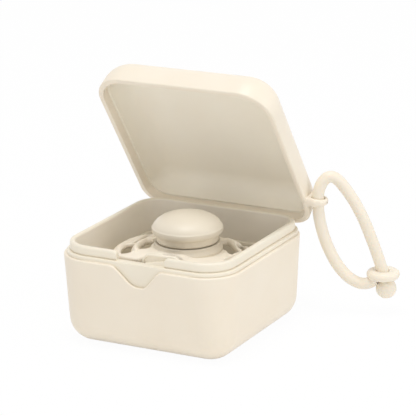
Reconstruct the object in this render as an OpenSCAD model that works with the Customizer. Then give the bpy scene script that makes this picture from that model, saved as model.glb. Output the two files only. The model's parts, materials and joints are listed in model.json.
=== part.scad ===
// Pocket steam case for one pacifier: a two-skin base with a drop-in tray,
// a pinned lid, a silicone carrying loop and the pacifier that it holds.
// Origin: centre of the resting face. +X right, +Y to the hinge, +Z up. Millimetres.

/* [Case] */
// Outer width of the base and lid
case_w = 70; // [64:1:90]
// Outer depth of the base and lid, front to hinge
case_d = 69.6; // [64:0.2:90]
// Height of the outer shell's top edge
shell_h = 32.6; // [30:0.2:45]
// Plan radius of the vertical corners
corner_r = 12; // [10:0.5:18]
// Draft of the side walls, in degrees
draft = 4.8; // [1:0.1:7]
// Fillet between the walls and the resting face
bottom_fillet = 8.2; // [6:0.1:10]
// Wall of the outer shell
shell_wall = 2; // [1.4:0.1:2.6]
// Floor of the outer shell
shell_floor = 2; // [1.2:0.1:3]
// Rounding of rims and edges that are touched
edge_r = 0.6; // [0.3:0.1:0.9]

/* [Thumb notch] */
// Distance of the notch's middle to the right of the case's middle
notch_x = 0.8; // [-2:0.1:2]
// Half width of the notch where it leaves the top edge
notch_half = 9.8; // [8:0.1:13]
// Half width of the notch's flat bottom
notch_flat = 2; // [1:0.1:4]
// Depth of the notch below the shell's top edge
notch_depth = 6.9; // [4:0.1:8]
// Play between the notch and the apron that fills it
notch_gap = 0.15; // [0.1:0.05:0.3]

/* [Inner tub] */
// Wall of the tub
tub_wall = 2.4; // [1.4:0.1:2.6]
// Floor of the tub
tub_floor = 1.8; // [1.2:0.1:2.6]
// Inset of the collar band from the case's outside
collar_inset = 1.3; // [0.8:0.1:1.5]
// Height of the collar band above the shell's edge
collar_h = 1.3; // [1:0.1:3]
// Height of the lip above the collar's ledge
lip_h = 3.4; // [2.4:0.1:5]
// Left end of the front gap in the lip, seen from the middle
lip_gap_left = 9; // [6:0.1:12]
// Right end of the front gap in the lip, seen from the middle
lip_gap_right = 10.3; // [6:0.1:12]
// Play between the tub and the outer shell, and between the tray and the tub
nest_gap = 0.25; // [0.15:0.05:0.4]

/* [Tray] */
// Depth of the seat that the shield stands on, below the shell's top edge
seat_drop = 4; // [3:0.1:6]
// Height of the cup from the tray's underside to that seat
cup_h = 11.6; // [9:0.1:13]
// Distance of the cup's middle to the right of the case's middle
cup_x = 1.4; // [-2:0.1:2]
// Distance of the cup's middle behind the case's middle
cup_y = 0.9; // [-1.5:0.1:1.5]
// Play between the shield's boss and the cup's outside
cup_wider = 0.7; // [0.4:0.1:1.2]
// Width of each window in the cup's wall
window_w = 8; // [6:0.5:10]
// Height of each window in the cup's wall
window_h = 5.4; // [4.4:0.1:6]
// Thickness of the tray's floor and walls
tray_wall = 1.6; // [1.2:0.1:2]
// Height of the tray's low rim above its floor
tray_rim_h = 7; // [4:0.5:9]
// Width of the lifting tab
tab_w = 15; // [10:0.5:17]
// Distance of the tab's left edge from the middle
tab_x = 0.5; // [-4:0.5:3]
// Corner radius of the tab
tab_round = 4; // [2:0.5:6]
// Depth of the tab's top below the lip's top
tab_drop = 0.9; // [0.4:0.1:2]
// Radius of each leg
leg_r = 2.3; // [1.8:0.1:3]
// Distance of the legs from the middle planes
leg_x = 19; // [17:0.5:20]
// Width of the two pouring holes
pour_w = 8; // [6:0.5:9]
// Length of the two pouring holes
pour_len = 20; // [14:0.5:22]
// Count of steam slots at the front and at the back of the tray
tray_slots = 3; // [2:1:3]
// Width of a steam slot
tray_slot_w = 2.2; // [1.6:0.1:2.6]
// Length of a steam slot
tray_slot_len = 22; // [14:1:26]

/* [Lid] */
// Height of the lid above its rim
lid_h = 14; // [12:0.2:20]
// Fillet round the lid's top
lid_fillet = 9.6; // [6:0.2:10]
// Wall of the lid at its rim
rim_wall = 2; // [1.6:0.1:2.1]
// Wall of the lid above the rabbet that takes the lip
lid_wall = 2.8; // [2.4:0.1:3.2]
// Thickness of the lid's top
lid_top = 2; // [1.4:0.1:2.6]
// Play between the lid's rim and the lip inside it
lip_play = 0.4; // [0.3:0.05:0.6]
// Gap between the closed lid's rim and the ledge
rim_gap = 0.2; // [0.15:0.05:0.4]
// Gap between the closed lid's shelf and the lip's top
shelf_gap = 0.4; // [0.3:0.05:0.8]
// Angle at which the lid stands open here, in degrees
lid_open = 56; // [0:1:90]

/* [Hinge] */
// Radius of the hinge barrel
barrel_r = 2.3; // [2:0.1:2.6]
// Radius of the hinge pin
pin_r = 1; // [0.8:0.1:1.2]
// Radial running play of the pin
pin_play = 0.06; // [0.02:0.01:0.1]
// Length of the whole hinge
hinge_len = 32; // [24:1:38]
// Length of the lid's middle knuckle
mid_knuckle = 14; // [8:1:16]
// End play between neighbouring knuckles
knuckle_gap = 0.3; // [0.2:0.05:0.5]
// Clearance round a turning knuckle
turn_gap = 0.4; // [0.3:0.05:0.6]
// Distance of the hinge axis in from the back face
hinge_in = 0.5; // [0.3:0.1:0.8]
// Distance of the hinge axis below the shell's top edge
hinge_drop = 0.5; // [0.2:0.1:0.8]
// Height of the middle knuckle's web on the lid's back wall
web_h = 5; // [3:0.5:8]

/* [Strap] */
// Thickness of the silicone loop
strap_d = 4.1; // [3:0.1:4.5]
// Play of the loop in the lug and in its own eye
strap_play = 0.2; // [0.15:0.05:0.5]
// Wall of the lug's ring
lug_wall = 1.4; // [0.9:0.1:1.8]
// Thickness of the lug
lug_t = 3.4; // [2:0.1:4]
// Widening of the lug towards the hinge where it meets the lid's wall
lug_flare = 1.3; // [0:0.1:3]
// Distance of the lug's hole from the lid's side wall
lug_out = 3.6; // [3.4:0.1:5]
// Distance of the lug in front of the lid's back face
lug_back = 11.43; // [9:0.01:16]
// Height of the lug above the lid's rim
lug_up = 2.82; // [2.2:0.01:5]
// Outer radius of the loop's eye
eye_r = 6.1; // [5.5:0.1:7]
// Thickness of the loop's eye
eye_t = 4.8; // [4:0.1:6]
// Radius of the loop's ball
ball_r = 3.65; // [3.4:0.05:4]

/* [Pacifier] */
// Half length of the shield
shield_half = 27.5; // [22:0.5:28]
// Reach of the shield's lobes towards the nose
shield_near = 22.4; // [18:0.2:24]
// Reach of the shield towards the chin
shield_far = 12.9; // [12.4:0.1:16]
// Thickness of the shield
shield_t = 1.8; // [1.4:0.1:2.4]
// Width of the raised rim along the shield's edge
rim_w = 2.2; // [1.2:0.1:2.6]
// Height of the raised rim and ribs above the shield
rim_up = 0.7; // [0.3:0.1:1]
// Radius that the shield is bent to
shield_bend = 110; // [90:2:260]
// Radius of the notch for the nose
nose_r = 8.4; // [6:0.2:9]
// Distance of that notch's bottom from the middle
nose_y = 12.9; // [12.4:0.1:14]
// Radius of the knob's dome
knob_r = 12.9; // [12:0.1:13]
// Height of the knob's dome
dome_h = 5.5; // [4:0.1:7]
// Height of the knob's widest line above the shield's collar ring
neck_h = 5.3; // [5:0.1:7]
// Radius of the knob's neck
neck_r = 11.3; // [9:0.1:11.4]
// Radius of the shield's collar ring
ring_r = 12.1; // [11.8:0.1:12.6]
// Height of the collar ring above the shield
ring_h = 1.5; // [1:0.1:2]
// Length of the nipple below the shield
nipple_len = 23.4; // [20:0.2:24]
// Radius of the nipple's bulb
nipple_r = 8; // [6:0.1:8.4]
// Wall of the nipple
nipple_wall = 1.5; // [1:0.1:2]

/* [Hidden] */

ivory = [0.93, 0.88, 0.80];
ivory_light = [0.96, 0.92, 0.84];
ivory_deep = [0.86, 0.81, 0.72];
steel = [0.75, 0.76, 0.77];
silicone = [0.97, 0.94, 0.88];

eps = 0.01;
// Depth by which two joined forms run into each other
bite = 0.4;
corner_steps = 8;
fillet_steps = 6;
$fn = 48;

slope = tan(draft);
ledge_z = shell_h + collar_h;
lip_top = ledge_z + lip_h;
lip_inset = rim_wall + lip_play;
tub_out = shell_wall + nest_gap;
tub_in = tub_out + tub_wall;
tub_bottom = shell_floor + nest_gap;
tub_floor_z = tub_bottom + tub_floor;
seat_z = shell_h - seat_drop;
tray_z = seat_z - cup_h;
tray_out = tub_in + nest_gap;
tray_in = tray_out + tray_wall;
tray_top = tray_z + tray_wall;
tab_top = lip_top - tab_drop;
cup_r = ring_r + cup_wider;
cup_in = cup_r - tray_wall;

rim_z = ledge_z + rim_gap;
rabbet_z = lip_top + shelf_gap;
lid_z = rim_z + lid_h;
hinge_y = case_d / 2 - hinge_in;
hinge_z = shell_h - hinge_drop;
turn_r = barrel_r + turn_gap;
bore_r = pin_r + pin_play;
side_knuckle = (hinge_len - mid_knuckle) / 2 - knuckle_gap;

lug_hole = strap_d / 2 + strap_play;
lug_r = lug_hole + lug_wall;
lug_at = [case_w / 2 + lug_out, case_d / 2 - lug_back, rim_z + lug_up];

boss_h = 3;
shield_z = seat_z + boss_h;
ring_top = shield_z + ring_h;
knob_z = ring_top + neck_h;
knob_wall = 1.6;
knob_rim = 1.4;
spigot_r = 8.6;
spigot_play = 0.1;
flange_t = 0.8;
flange_z = seat_z + flange_t;
nipple_neck = 6.2;
nipple_stem = 5.2;
nipple_floor_gap = 1;
// Each slot and rib of the shield: middle radius, width, first and last angle
shield_slots = [[15.4, 3.4, -25, 1], [15.1, 3.2, 16, 30], [22.2, 3, -33, -10], [20.8, 2.4, 6, 21]];
shield_ribs = [18.7, 1.7, -45, 22];

// Route of the loop in its own plane, from its eye through the lug and down to
// its ball: [outward, up] from the lug's hole, when the lid stands as drawn
strap_route = [
    [20.6, -30.4], [18.6, -31.6], [16.0, -31.9], [13.0, -30.8], [10.0, -28.4],
    [7.0, -24.6], [4.6, -20.2], [2.7, -15.6], [1.3, -11.0], [0.4, -6.8], [0.0, -3.4],
    [0.0, 0.0], [0.0, 2.6], [0.7, 5.4], [2.1, 7.8], [4.4, 9.1], [6.9, 8.0],
    [9.6, 4.8], [12.4, 0.6], [15.0, -4.2], [17.6, -10.2], [19.8, -16.2],
    [21.6, -21.4], [22.9, -25.6], [23.7, -28.4], [24.2, -31.4]
];
strap_turn = 28.4;
eye_at = [23.6, -28.4];
ball_at = [24.7, -34];

// A rounded rectangle of the case's plan, inset by i, at height z
function plan(i, z) =
    let (w = case_w / 2 - i, d = case_d / 2 - i, r = max(corner_r - i, 0.8))
    [for (q = [0:3]) for (k = [0:corner_steps])
        let (a = 90 * (q + k / corner_steps), sx = q == 0 || q == 3 ? 1 : -1, sy = q < 2 ? 1 : -1)
        [sx * (w - r) + r * cos(a), sy * (d - r) + r * sin(a), z]];

// Inset of a drafted wall at height z, where the wall is off deep at the shell's edge
function wall_inset(off, z) = off + slope * (shell_h - z);

// Levels [inset, z] of a fillet of radius r from a floor at z0 into a drafted wall
function floor_levels(off, z0, r) = [for (k = [0:fillet_steps])
    let (a = 90 * k / fillet_steps, z = z0 + r * (1 - cos(a)))
    [wall_inset(off, z) + r * (1 - sin(a)), z]];

// Levels [inset, z] of a fillet of radius r from a straight wall into a top at z1
function top_levels(off, z1, r) = [for (k = [0:fillet_steps])
    let (a = 90 * k / fillet_steps)
    [off + r * (1 - cos(a)), z1 - r + r * sin(a)]];

// A closed body through rounded rectangles at the levels [inset, z]
module loft(levels) {
    rings = [for (l = levels) plan(l[0], l[1])];
    n = len(rings[0]);
    m = len(rings);
    polyhedron(
        points = [for (r = rings) each r],
        faces = concat(
            [[for (k = [0:n - 1]) k]],
            [for (j = [0:m - 2]) for (k = [0:n - 1])
                let (a = j * n + k, b = j * n + (k + 1) % n)
                [a, a + n, b + n, b]],
            [[for (k = [n - 1:-1:0]) (m - 1) * n + k]]
        ),
        convexity = 6
    );
}

// Outline of the thumb notch about its own middle, grown by g, with its top at z1
module notch_outline(g, z1) {
    steps = 12;
    ramp = [for (k = [0:steps])
        let (t = k / steps, s = (1 + cos(180 * t)) / 2)
        [notch_flat + (notch_half - notch_flat) * t + g, shell_h - notch_depth * s - g]];
    polygon(concat(
        [for (p = ramp) p],
        [[notch_half + g, z1], [-notch_half - g, z1]],
        [for (k = [steps:-1:0]) [-ramp[k][0], ramp[k][1]]]
    ));
}

// Moves its children from the closed lid's place to the open one
module opened() {
    translate([0, hinge_y, hinge_z])
        rotate([-lid_open, 0, 0])
            translate([0, -hinge_y, -hinge_z])
                children();
}

// A bar of radius r along the hinge axis, from x0 to x1
module hinge_bar(r, x0, x1) {
    translate([x0, hinge_y, hinge_z])
        rotate([0, 90, 0])
            cylinder(r = r, h = x1 - x0);
}

module outer_shell() {
    back_cut = hinge_len / 2 + turn_gap;
    color(ivory)
        difference() {
            loft(concat(
                floor_levels(0, 0, bottom_fillet),
                [[0, shell_h - edge_r], [edge_r * 0.3, shell_h - edge_r * 0.3], [edge_r, shell_h]]
            ));
            loft(concat(
                floor_levels(shell_wall, shell_floor, bottom_fillet - shell_wall),
                [[shell_wall, shell_h], [shell_wall - slope, shell_h + 1]]
            ));
            // thumb notch through the front wall
            translate([notch_x, -case_d / 2 + shell_wall + 2, 0])
                rotate([90, 0, 0])
                    linear_extrude(shell_wall + 4)
                        notch_outline(0, shell_h + 1);
            // window for the hinge in the back wall
            translate([-back_cut, case_d / 2 - shell_wall - 2, hinge_z - turn_r])
                cube([2 * back_cut, shell_wall + 4, turn_r + 4]);
        }
}

module tub_apron() {
    intersection() {
        loft([
            [wall_inset(collar_inset, shell_h - notch_depth - 1), shell_h - notch_depth - 1],
            [collar_inset, shell_h],
            [collar_inset, shell_h + bite]
        ]);
        translate([notch_x, -case_d / 2 + tub_in - eps, 0])
            rotate([90, 0, 0])
                linear_extrude(tub_in + 2)
                    notch_outline(-notch_gap, shell_h + bite);
    }
}

module side_knuckle_at(x0) {
    hinge_bar(barrel_r, x0, x0 + side_knuckle);
    translate([x0, case_d / 2 - tub_in + eps, hinge_z - barrel_r])
        cube([side_knuckle, tub_in - hinge_in, ledge_z - hinge_z + barrel_r - bite]);
}

module inner_tub() {
    color(ivory_light)
        difference() {
            union() {
                loft(concat(
                    floor_levels(tub_out, tub_bottom, bottom_fillet - shell_wall - nest_gap),
                    [[tub_out, shell_h], [tub_out, ledge_z - bite]]
                ));
                loft([[collar_inset, shell_h], [collar_inset, ledge_z - edge_r / 2],
                    [collar_inset + edge_r / 2, ledge_z]]);
                loft([[lip_inset, shell_h + bite], [lip_inset, lip_top - edge_r],
                    [lip_inset + edge_r * 0.3, lip_top - edge_r * 0.3], [lip_inset + edge_r, lip_top]]);
                tub_apron();
                side_knuckle_at(-hinge_len / 2);
                side_knuckle_at(hinge_len / 2 - side_knuckle);
            }
            loft(concat(
                floor_levels(tub_in, tub_floor_z, bottom_fillet - shell_wall - nest_gap - tub_wall),
                [[tub_in, shell_h], [tub_in, lip_top + eps]]
            ));
            // front gap in the lip
            translate([-lip_gap_left, -case_d / 2, ledge_z])
                cube([lip_gap_left + lip_gap_right, tub_in + 4, lip_h + 1]);
            // room for the lid's turning knuckle
            hinge_bar(turn_r, -mid_knuckle / 2 - knuckle_gap, mid_knuckle / 2 + knuckle_gap);
            hinge_bar(bore_r, -hinge_len / 2 - 1, hinge_len / 2 + 1);
        }
}

// The rounded outline of the lifting tab in the XZ plane
module tab_outline() {
    translate([tab_x, tray_z]) square([tab_w, tab_top - tray_z - tab_round]);
    translate([tab_x + tab_round, tray_z]) square([tab_w - 2 * tab_round, tab_top - tray_z]);
    for (x = [tab_x + tab_round, tab_x + tab_w - tab_round])
        translate([x, tab_top - tab_round]) circle(r = tab_round);
}

// Slots in the tray's floor: pouring holes at the sides, steam slots at front and back
module tray_openings() {
    inner = cup_r + max(abs(cup_x), abs(cup_y)) + 1;
    for (s = [-1, 1])
        translate([s * (inner + pour_w / 2), 0])
            for (y = [-1, 1]) {
                translate([0, y * (pour_len - pour_w) / 2]) circle(d = pour_w);
                translate([-pour_w / 2, -(pour_len - pour_w) / 2]) square([pour_w, pour_len - pour_w]);
            }
    for (s = [-1, 1]) for (k = [0:tray_slots - 1])
        translate([-tray_slot_len / 2, s * (inner + (2 * k + 0.5) * tray_slot_w) - tray_slot_w / 2])
            square([tray_slot_len, tray_slot_w]);
}

module steam_tray() {
    rim_top = tray_top + tray_rim_h;
    color(ivory)
        difference() {
            union() {
                // low rim and floor
                difference() {
                    loft([[wall_inset(tray_out, tray_z), tray_z], [wall_inset(tray_out, rim_top), rim_top]]);
                    loft([[wall_inset(tray_in, tray_top), tray_top],
                        [wall_inset(tray_in, rim_top + 1), rim_top + 1]]);
                }
                // lifting tab, a raised stretch of the front wall
                intersection() {
                    difference() {
                        loft([[wall_inset(tray_out, tray_z), tray_z], [tray_out, shell_h],
                            [tray_out, lip_top]]);
                        loft([[wall_inset(tray_in, tray_z - 1), tray_z - 1], [tray_in, shell_h],
                            [tray_in, lip_top + 1]]);
                    }
                    rotate([90, 0, 0])
                        linear_extrude(case_d / 2)
                            tab_outline();
                }
                // cup that the shield's boss stands on
                translate([cup_x, cup_y, tray_z]) cylinder(r = cup_r, h = cup_h);
                // legs
                for (x = [-leg_x, leg_x]) for (y = [-leg_x, leg_x])
                    translate([x, y, tub_floor_z]) cylinder(r = leg_r, h = tray_z - tub_floor_z + eps);
            }
            translate([cup_x, cup_y, tray_z - 1]) cylinder(r = cup_in, h = cup_h + 2);
            // windows in the cup
            translate([cup_x, cup_y, tray_top + bite])
                for (a = [0:90:270]) rotate([0, 0, a])
                    translate([cup_in - 1, -window_w / 2, 0])
                        cube([tray_wall + 2, window_w, window_h]);
            translate([0, 0, tray_z - 1]) linear_extrude(tray_wall + 2) tray_openings();
        }
}

// Ring for the strap, flat to the ground when the lid stands open
module lug() {
    root = lug_out + rim_wall / 2;
    translate(lug_at)
        rotate([lid_open, 0, 0])
            difference() {
                union() {
                    cylinder(r = lug_r, h = lug_t, center = true);
                    linear_extrude(lug_t, center = true)
                        polygon([[0, -lug_r], [0, lug_r], [-root, lug_r + lug_flare], [-root, -lug_r]]);
                }
                cylinder(r = lug_hole, h = lug_t + 2, center = true);
            }
}

module lid_shell() {
    color(ivory_light)
        opened()
            difference() {
                union() {
                    difference() {
                        loft(concat(
                            [[edge_r, rim_z], [edge_r * 0.3, rim_z + edge_r * 0.3], [0, rim_z + edge_r]],
                            top_levels(0, lid_z, lid_fillet)
                        ));
                        loft([[rim_wall, rim_z - 1], [rim_wall, rabbet_z]]);
                        loft(concat(
                            [[lid_wall, rabbet_z - 1]],
                            top_levels(lid_wall, lid_z - lid_top, lid_fillet - lid_wall)
                        ));
                    }
                    hinge_bar(barrel_r, -mid_knuckle / 2, mid_knuckle / 2);
                    translate([-mid_knuckle / 2, hinge_y - bite, hinge_z])
                        cube([mid_knuckle, barrel_r + bite, rim_z - hinge_z + web_h]);
                    lug();
                }
                hinge_bar(turn_r, -hinge_len / 2 - 1, -mid_knuckle / 2);
                hinge_bar(turn_r, mid_knuckle / 2, hinge_len / 2 + 1);
                hinge_bar(bore_r, -hinge_len / 2, hinge_len / 2);
            }
}

module hinge_pin() {
    color(steel)
        hinge_bar(pin_r, -hinge_len / 2 + knuckle_gap, hinge_len / 2 - knuckle_gap);
}

// Plan of the pacifier's shield: two lobes that sweep forward round a notch for the nose
module shield_plan() {
    horn_r = 2.6;
    power = 2.4;
    offset(r = horn_r, $fn = 32)
        offset(delta = -horn_r)
            difference() {
                polygon([for (a = [0:5:355])
                    [shield_half * sign(cos(a)) * pow(abs(cos(a)), 2 / power),
                        (a < 180 ? shield_far : shield_near) * sign(sin(a)) * pow(abs(sin(a)), 2 / power)]]);
                translate([0, -nose_y - nose_r]) circle(r = nose_r);
            }
}

// The curved slab under height z1, about the shield's bending axis
module bent_slab(z1, t) {
    axis_z = shield_z - shield_bend;
    translate([0, 0, axis_z])
        rotate([90, 0, 0])
            difference() {
                cylinder(r = z1 - axis_z, h = 3 * shield_near, center = true, $fn = 180);
                cylinder(r = z1 - t - axis_z, h = 4 * shield_near, center = true, $fn = 180);
            }
}

// A slot with round ends along an arc of radius r, from angle a0 to a1
module arc_slot(r, w, a0, a1) {
    steps = 8;
    ends = 5;
    polygon(concat(
        [for (k = [0:steps]) let (a = a0 + (a1 - a0) * k / steps) (r + w / 2) * [cos(a), sin(a)]],
        [for (k = [1:ends]) let (b = a1 + 180 * k / (ends + 1))
            r * [cos(a1), sin(a1)] + w / 2 * [cos(b), sin(b)]],
        [for (k = [steps:-1:0]) let (a = a0 + (a1 - a0) * k / steps) (r - w / 2) * [cos(a), sin(a)]],
        [for (k = [1:ends]) let (b = a0 + 180 * (1 + k / (ends + 1)))
            r * [cos(a0), sin(a0)] + w / 2 * [cos(b), sin(b)]]
    ));
}

// Raised edge and ribs of the shield, in plan
module shield_ridges() {
    difference() {
        shield_plan();
        offset(delta = -rim_w) shield_plan();
    }
    for (m = [0, 1]) mirror([m, 0, 0])
        arc_slot(shield_ribs[0], shield_ribs[1], shield_ribs[2], shield_ribs[3]);
}

module pacifier_shield() {
    plan_h = 14;
    bead_r = 0.7;
    color(ivory_deep)
        translate([cup_x, cup_y, 0]) difference() {
            union() {
                intersection() {
                    bent_slab(shield_z, shield_t);
                    translate([0, 0, shield_z - plan_h / 2]) linear_extrude(plan_h) shield_plan();
                }
                intersection() {
                    bent_slab(shield_z + rim_up, rim_up + shield_t / 2);
                    translate([0, 0, shield_z - plan_h / 2]) linear_extrude(plan_h) shield_ridges();
                }
                translate([0, 0, seat_z]) cylinder(r = ring_r, h = boss_h);
                rotate_extrude($fn = 72)
                    polygon(concat(
                        [[0, shield_z - bite], [0, ring_top]],
                        [for (k = [0:6]) let (a = 90 - 15 * k)
                            [ring_r - bead_r + bead_r * cos(a), ring_top - bead_r + bead_r * sin(a)]],
                        [[ring_r, shield_z - bite]]
                    ));
            }
            translate([0, 0, seat_z - 1]) cylinder(r = nipple_neck + spigot_play, h = flange_t + 2);
            translate([0, 0, flange_z]) cylinder(r = spigot_r + spigot_play, h = boss_h + 4);
            for (s = shield_slots) for (m = [0, 1])
                mirror([m, 0, 0])
                    translate([0, 0, shield_z - plan_h / 2])
                        linear_extrude(plan_h)
                            arc_slot(s[0], s[1], s[2], s[3]);
        }
}

module pacifier_knob() {
    under = knob_z - knob_rim;
    edge = knob_rim * 0.2;
    chamfer = 0.3;
    color(ivory)
        translate([cup_x, cup_y, 0]) rotate_extrude($fn = 72)
            polygon(concat(
                [for (k = [0:12]) let (a = 90 - 7.5 * k)
                    [(knob_r - edge) * cos(a) + edge * k / 12, knob_z + dome_h * sin(a)]],
                [for (k = [1:4]) let (a = -22.5 * k)
                    [knob_r - knob_rim + knob_rim * cos(a), knob_z + knob_rim * sin(a)]],
                [[neck_r, under - chamfer], [neck_r, ring_top + chamfer], [neck_r - chamfer, ring_top]],
                [[spigot_r, ring_top], [spigot_r, flange_z + flange_t]],
                [[spigot_r - knob_wall, flange_z + flange_t]],
                [[spigot_r - knob_wall, under + 1], [0, knob_z + dome_h - knob_wall - 1]]
            ));
}

// Points of the nipple's bulb at radius r about height z, from its tip up to angle top
function bulb_points(r, z, top) = [for (k = [0:10])
    let (a = -90 + (90 + top) * k / 10)
    [r * cos(a), z + r * sin(a)]];

module pacifier_nipple() {
    tip_z = max(seat_z - nipple_len, tub_floor_z + nipple_floor_gap);
    bulb_z = tip_z + nipple_r;
    bulb_top = 50;
    stem_z = seat_z - 4;
    neck_z = seat_z - 1;
    inner = bulb_points(nipple_r - nipple_wall, bulb_z, bulb_top);
    color(ivory_deep)
        translate([cup_x, cup_y, 0]) rotate_extrude($fn = 72)
            polygon(concat(
                bulb_points(nipple_r, bulb_z, bulb_top),
                [[nipple_stem, stem_z], [nipple_neck, neck_z], [nipple_neck, flange_z]],
                [[spigot_r, flange_z], [spigot_r, flange_z + flange_t]],
                [[nipple_neck - nipple_wall, flange_z + flange_t], [nipple_neck - nipple_wall, neck_z]],
                [[nipple_stem - nipple_wall, stem_z]],
                [for (k = [10:-1:0]) inner[k]]
            ));
}

// A point of the loop's plane, [outward, up] from the lug's hole, in the case's frame
function lug_point() =
    let (y = lug_at[1] - hinge_y, z = lug_at[2] - hinge_z)
    [lug_at[0], hinge_y + y * cos(lid_open) + z * sin(lid_open),
        hinge_z - y * sin(lid_open) + z * cos(lid_open)];
function strap_point(p) = lug_point() + [p[0] * cos(strap_turn), p[0] * sin(strap_turn), p[1]];

// Ring of the loop's tube at point k of its route
function strap_ring(k, sides) =
    let (
        last = len(strap_route) - 1,
        d = strap_route[min(k + 1, last)] - strap_route[max(k - 1, 0)],
        t = d / norm(d)
    )
    [for (j = [0:sides - 1])
        let (a = 360 * j / sides, c = strap_d / 2 * cos(a), s = strap_d / 2 * sin(a))
        strap_point(strap_route[k] + c * [-t[1], t[0]]) + s * [sin(strap_turn), -cos(strap_turn), 0]];

module strap_loop() {
    sides = 12;
    m = len(strap_route);
    color(silicone)
        polyhedron(
            points = [for (k = [0:m - 1]) each strap_ring(k, sides)],
            faces = concat(
                [[for (j = [0:sides - 1]) j]],
                [for (k = [0:m - 2]) for (j = [0:sides - 1])
                    let (a = k * sides + j, b = k * sides + (j + 1) % sides)
                    [a, a + sides, b + sides, b]],
                [[for (j = [sides - 1:-1:0]) (m - 1) * sides + j]]
            ),
            convexity = 6
        );
}

module strap_eye() {
    half = eye_t / 2;
    hole = strap_d / 2 + strap_play;
    bevel = 0.7;
    color(silicone)
        translate(strap_point(eye_at))
            rotate_extrude()
                polygon(concat(
                    [[hole + bevel, -half], [hole, bevel - half], [hole, half - bevel], [hole + bevel, half]],
                    [for (k = [0:8]) let (a = 90 - 22.5 * k)
                        [eye_r - half + half * cos(a), half * sin(a)]]
                ));
}

module strap_ball() {
    color(silicone)
        translate(strap_point(ball_at))
            sphere(r = ball_r);
}

outer_shell();
inner_tub();
steam_tray();
lid_shell();
hinge_pin();
pacifier_shield();
pacifier_knob();
pacifier_nipple();
strap_loop();
strap_eye();
strap_ball();
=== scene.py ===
"""The looks of a pocket steam case with its pacifier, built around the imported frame.

Sizes are in mm, in the frame of the CAD, and MM turns them into Blender's metres.
"""

import json
import math
from contextlib import contextmanager

import bmesh
import bpy
import numpy as np
from mathutils import Matrix, Vector


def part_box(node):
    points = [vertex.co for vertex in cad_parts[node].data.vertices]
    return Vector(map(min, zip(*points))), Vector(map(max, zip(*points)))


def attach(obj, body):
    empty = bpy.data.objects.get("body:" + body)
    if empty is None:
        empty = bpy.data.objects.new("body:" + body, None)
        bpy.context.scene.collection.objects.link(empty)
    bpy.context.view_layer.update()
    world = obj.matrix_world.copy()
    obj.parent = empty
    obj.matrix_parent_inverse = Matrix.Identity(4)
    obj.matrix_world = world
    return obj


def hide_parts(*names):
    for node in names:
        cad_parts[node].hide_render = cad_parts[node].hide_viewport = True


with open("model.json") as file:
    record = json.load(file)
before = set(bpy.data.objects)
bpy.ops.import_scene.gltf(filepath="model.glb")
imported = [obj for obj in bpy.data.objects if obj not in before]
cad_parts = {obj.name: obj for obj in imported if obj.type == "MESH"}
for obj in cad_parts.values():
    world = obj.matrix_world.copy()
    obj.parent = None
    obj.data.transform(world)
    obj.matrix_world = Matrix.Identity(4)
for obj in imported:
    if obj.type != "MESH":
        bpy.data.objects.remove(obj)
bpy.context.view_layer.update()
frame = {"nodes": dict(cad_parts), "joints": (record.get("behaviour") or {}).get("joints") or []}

MM = 0.001
sin, cos, pi = math.sin, math.cos, math.pi
QUARTER, WHOLE = pi / 2, 2 * pi



def in_mm(metres):
    """Lengths of the frame, in mm."""
    return [round(v / MM, 3) for v in metres]


# ---------------------------------------------------------------- sizes from the frame, in mm
joints = {joint["name"]: joint for joint in frame["joints"]}
HALF_W, HALF_D, SHELL_H = in_mm(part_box("outer_shell")[1])
LIP_TOP = in_mm(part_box("inner_tub")[1])[2]
TUB_FLOOR = in_mm(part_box("steam_tray")[0])[2]
HINGE_Y, HINGE_Z = in_mm(joints["lid_hinge"]["pos_m"])[1:]
OPEN = math.radians(-joints["lid_hinge"]["range_deg"][0])  # from shut to where the lid rests
LUG = Vector(in_mm(joints["strap_swivel"]["pos_m"]))

# ---------------------------------------------------------------- the other sizes, in mm
# the plan of the case, seen from above
CORNER = 12.0
MID_X, MID_Y = HALF_W - CORNER, HALF_D - CORNER
SIDE_SPREAD = 22  # stations along a straight side are spread to here
CORNER_GAIN, GAIN_FROM, GAIN_TO = 1.7, 10, 30  # the base's corners grow rounder between two heights

# the outer shell: its draft, and the thumb notch in front with its middle, half of its flat
# bottom, its depth and its reach to each side
SLOPE = math.tan(math.radians(4.8))
SHELL_T, SHELL_FILLET, SHELL_ROUND = 2.0, 8.2, 0.6
NOTCH_X, NOTCH_FLAT, NOTCH_DEEP = 0.8, 0.9, 6.9
NOTCH_LEFT, NOTCH_RIGHT, NOTCH_WALL = 11.7, 9.6, 1.2

# the tub: the insets of its faces from the outside in, and the gap in its lip
TUB_OUT, TUB_LIP, TUB_SKIRT, TUB_IN = 1.3, 2.4, 3.4, 4.45
TUB_FILLET, LEDGE_Z, LIP_ROUND = 4.0, 33.9, 0.8
GAP_LEFT, GAP_RIGHT, GAP_ROUND = -9.0, 10.3, 1.3

# the hinge: the knuckles' radius, the room they turn in, and where they end along the pin
KNUCKLE_R, KNUCKLE_ROOM, PIN_BORE = 2.3, 2.7, 1.06
MIDDLE_END, SIDE_START, SIDE_END = 7.0, 7.3, 16.0
WEB_TOP = LEDGE_Z - 0.05

# the lid, as it is when shut: its rim stands a little wider than the shell and leans inwards
RIM_Z, RABBET_Z, LID_Z = 34.1, 37.7, 48.1
LID_T, RABBET_T = 2.0, 2.8
LID_FILLET, LID_FILLET_IN, LID_DEPTH_IN = 9.6, 6.8, 8.1
LID_EASE, LID_DRAFT = 0.3, 0.055

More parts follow.
